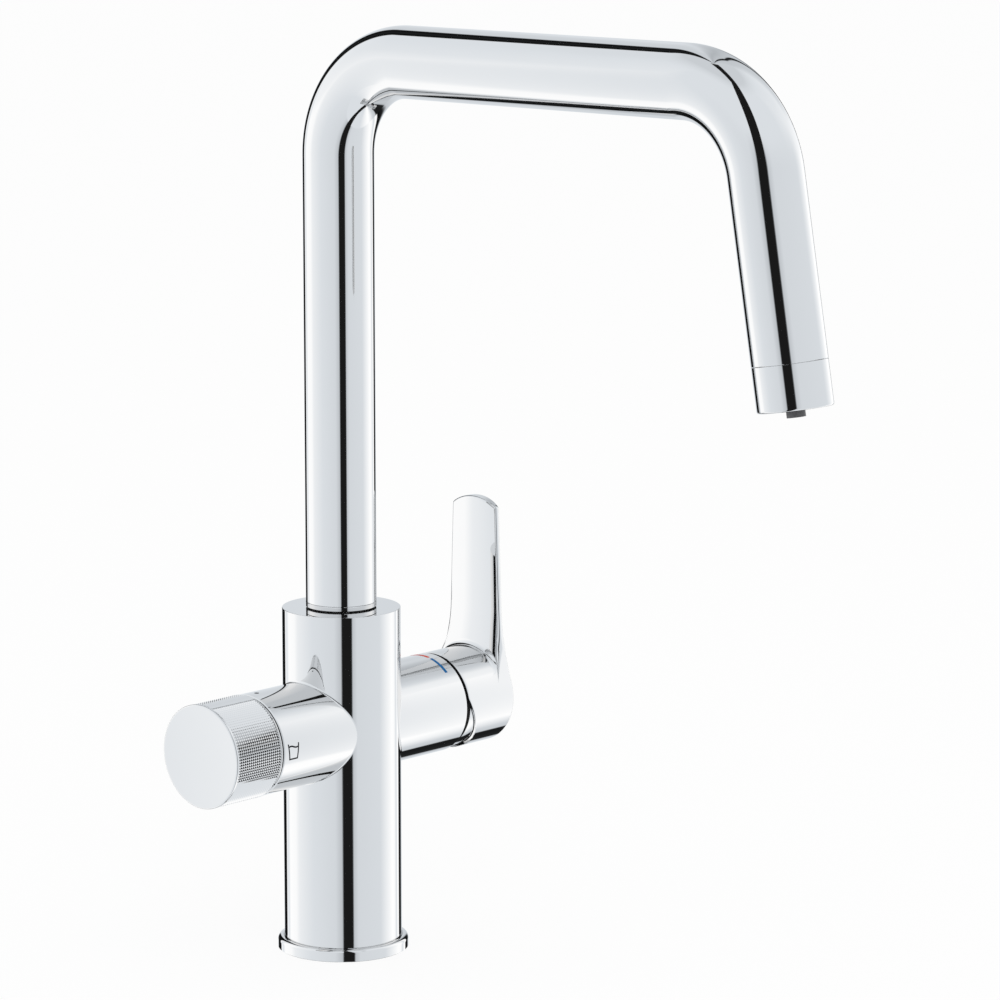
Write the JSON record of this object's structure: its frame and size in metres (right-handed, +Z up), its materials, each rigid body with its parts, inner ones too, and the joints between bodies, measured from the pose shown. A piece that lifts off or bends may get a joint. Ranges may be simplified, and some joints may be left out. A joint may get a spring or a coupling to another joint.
{
  "type": "kitchen tap",
  "caption": "Chrome kitchen tap with a swivelling squared spout, a side mixer lever and a knurled side knob for filtered water.",
  "frame": {"origin": "on the column's axis, at the underside of the base ring, where the tap stands on the sink's deck", "axes": "+Z up along the column, -Y towards the user and the spout's outlet, +X along the mixer lever's neck, -X along the filter knob's neck"},
  "size_m": [0.1624, 0.2666, 0.3694],
  "materials": {
    "chrome": "polished",
    "brass": "satin",
    "steel": "satin",
    "black_rubber": "matt",
    "white_plastic": "matt",
    "grey_plastic": "matt",
    "clear_hose": "satin",
    "ceramic": "polished",
    "red_mark": "gloss",
    "blue_mark": "gloss",
    "dark_mark": "gloss"
  },
  "bodies": {
    "tap_body": {"base_ring": "chrome", "base_seal": "black_rubber", "body_column": "chrome", "spout_stop_screw": "steel", "off_mark": "dark_mark", "glass_mark": "dark_mark", "hot_mark": "red_mark", "cold_mark": "blue_mark", "headpart_housing": "brass", "headpart_seat_seal": "black_rubber", "headpart_fixed_disc": "ceramic", "cartridge_base": "white_plastic", "cartridge_seals": "black_rubber", "cartridge_fixed_disc": "ceramic", "cartridge_housing": "white_plastic", "cartridge_nut": "brass", "dome_cover": "chrome"},
    "spout": {"spout_tube": "chrome", "spout_adaptor": "chrome", "spout_glide_washer": "white_plastic", "spout_glide_rings": "white_plastic", "spout_o_rings": "black_rubber", "filter_tube": "clear_hose", "filter_stub_o_ring": "black_rubber", "outlet_socket": "brass", "outlet_sleeve": "chrome", "aerator": "grey_plastic", "aerator_seal": "black_rubber", "filter_nozzle": "grey_plastic", "nozzle_o_ring": "black_rubber"},
    "filter_handle": {"headpart_moving_disc": "ceramic", "valve_spindle": "brass", "spindle_o_rings": "black_rubber", "spindle_circlip": "steel", "knob_sleeve": "chrome", "knob_cap": "chrome", "knob_adaptor": "white_plastic", "knob_screw": "steel"},
    "mixer_rotor": {"cartridge_rotor": "grey_plastic", "pivot_pin": "steel", "rotor_o_ring": "black_rubber"},
    "mixer_slider": {"disc_carrier": "grey_plastic", "cartridge_moving_disc": "ceramic"},
    "mixer_lever": {"lever": "chrome", "lever_stem": "steel", "lever_screw": "steel", "lever_screw_plug": "grey_plastic"}
  },
  "joints": [
    {"name": "spout_swivel", "type": "hinge", "parent": "tap_body", "child": "spout", "pos_m": [0, 0, 0.12], "axis": [0, 0, 1], "range_deg": [-75, 75]},
    {"name": "filter_turn", "type": "hinge", "parent": "tap_body", "child": "filter_handle", "pos_m": [-0.053, 0, 0.091], "axis": [1, 0, 0], "range_deg": [0, 90]},
    {"name": "mixer_temperature", "type": "hinge", "parent": "tap_body", "child": "mixer_rotor", "pos_m": [0.0585, 0, 0.091], "axis": [1, 0, 0], "range_deg": [-45, 45]},
    {"name": "mixer_flow", "type": "hinge", "parent": "mixer_rotor", "child": "mixer_lever", "pos_m": [0.0585, 0, 0.091], "axis": [0, 1, 0], "range_deg": [0, 24]},
    {"name": "disc_slide", "type": "slide", "parent": "mixer_rotor", "child": "mixer_slider", "axis": [0, 0, 1], "range_m": [0, 0.00407]}
  ],
  "couplings": [
    {"joint": "disc_slide", "follows": "mixer_flow", "m_per_rad": 0.00971}
  ]
}
